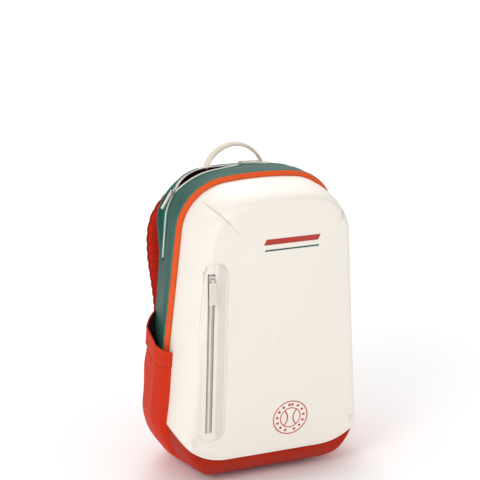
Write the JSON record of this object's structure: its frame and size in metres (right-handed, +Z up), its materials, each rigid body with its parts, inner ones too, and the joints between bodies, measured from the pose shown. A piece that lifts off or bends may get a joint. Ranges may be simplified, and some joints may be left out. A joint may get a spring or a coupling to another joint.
{
  "type": "racket backpack",
  "caption": "Racket backpack with a moulded front shell, parted top zip, side pockets, padded straps and a webbing handle.",
  "frame": {"origin": "on the floor under the pack, near the middle of its base", "axes": "-Y to the front shell, +Y to the wearer's back, +X to the pack's right seen from the front, +Z up"},
  "size_m": [0.3476, 0.2489, 0.5025],
  "materials": {
    "shell_coating": "soft matte coated fabric with a fine grain",
    "orange_trim": "woven binding with stitches",
    "gusset_weave": "plain weave",
    "red_fabric": "plain weave with a slight sheen",
    "zip_tape": "zip tape and nylon coil",
    "zip_metal": "satin nickel",
    "pull_tab": "matte moulded",
    "lining": "thin lining",
    "badge_print": "matte",
    "stiffener": "sheet",
    "air_mesh": "spacer mesh",
    "webbing": "ribbed webbing",
    "buckle_plastic": "fine texture"
  },
  "bodies": {
    "pack": {"front_shell": "shell_coating", "pocket_frame": "shell_coating", "bound_seam": "orange_trim", "front_gusset": "gusset_weave", "rear_gusset": "gusset_weave", "base_tub": "red_fabric", "left_side_pocket": "red_fabric", "right_side_pocket": "red_fabric", "left_pocket_hem": "red_fabric", "right_pocket_hem": "red_fabric", "back_panel": "red_fabric", "strap_yoke": "red_fabric", "left_lower_anchor": "red_fabric", "right_lower_anchor": "red_fabric", "front_zip_tape": "zip_tape", "rear_zip_tape": "zip_tape", "pocket_zip_tape": "zip_tape", "left_zip_coil": "zip_tape", "right_zip_coil": "zip_tape", "pocket_zip_coil": "zip_tape", "pocket_pouch": "lining", "racket_divider": "lining", "badge": "badge_print", "frame_sheet": "stiffener", "base_board": "stiffener", "left_back_pad": "air_mesh", "right_back_pad": "air_mesh", "lumbar_pad": "air_mesh", "handle_patches": "webbing", "left_lower_webbing": "webbing", "right_lower_webbing": "webbing"},
    "left_slider": {"left_slider": "zip_metal"},
    "left_pull": {"left_pull": "pull_tab"},
    "top_slider": {"top_slider": "zip_metal"},
    "top_pull": {"top_pull": "pull_tab"},
    "pocket_slider": {"pocket_slider": "zip_metal"},
    "pocket_pull": {"pocket_pull": "pull_tab"},
    "handle": {"handle": "webbing"},
    "left_strap": {"left_shoulder_strap": "red_fabric", "left_strap_buckle": "buckle_plastic", "left_webbing_tail": "webbing"},
    "right_strap": {"right_shoulder_strap": "red_fabric", "right_strap_buckle": "buckle_plastic", "right_webbing_tail": "webbing"}
  },
  "joints": [
    {"name": "left_slider_travel", "type": "hinge", "parent": "pack", "child": "left_slider", "pos_m": [-0.04658, 0.048, 0.39551], "axis": [0, 1, 0], "range_deg": [-30, 0]},
    {"name": "left_pull_swing", "type": "hinge", "parent": "left_slider", "child": "left_pull", "pos_m": [-0.11359, 0.04879, 0.4442], "axis": [0.1262, 0.9878, -0.0917], "range_deg": [0, 150]},
    {"name": "top_slider_travel", "type": "hinge", "parent": "pack", "child": "top_slider", "pos_m": [0, 0.048, -0.039], "axis": [0, 1, 0], "range_deg": [0, 7]},
    {"name": "top_pull_swing", "type": "hinge", "parent": "top_slider", "child": "top_pull", "pos_m": [-0.00202, 0.04879, 0.48082], "axis": [-0.0006, -0.9878, 0.156], "range_deg": [0, 150]},
    {"name": "pocket_slider_travel", "type": "slide", "parent": "pack", "child": "pocket_slider", "axis": [0, -0.0854, 0.9963], "range_m": [-0.232, 0]},
    {"name": "pocket_pull_swing", "type": "hinge", "parent": "pocket_slider", "child": "pocket_pull", "pos_m": [-0.108, -0.11931, 0.35012], "axis": [-1, 0, 0], "range_deg": [-4, 150]},
    {"name": "handle_tip", "type": "hinge", "parent": "pack", "child": "handle", "pos_m": [0, 0.08, 0.48068], "axis": [1, 0, 0], "range_deg": [-50, 70], "stiffness_Nm_per_rad": 0.01},
    {"name": "left_strap_swing", "type": "hinge", "parent": "pack", "child": "left_strap", "pos_m": [0, 0.0943, 0.446], "axis": [1, 0, 0], "range_deg": [0, 20], "deforming": ["left_lower_webbing"]},
    {"name": "right_strap_swing", "type": "hinge", "parent": "pack", "child": "right_strap", "pos_m": [0, 0.0943, 0.446], "axis": [1, 0, 0], "range_deg": [0, 20], "deforming": ["right_lower_webbing"]}
  ]
}
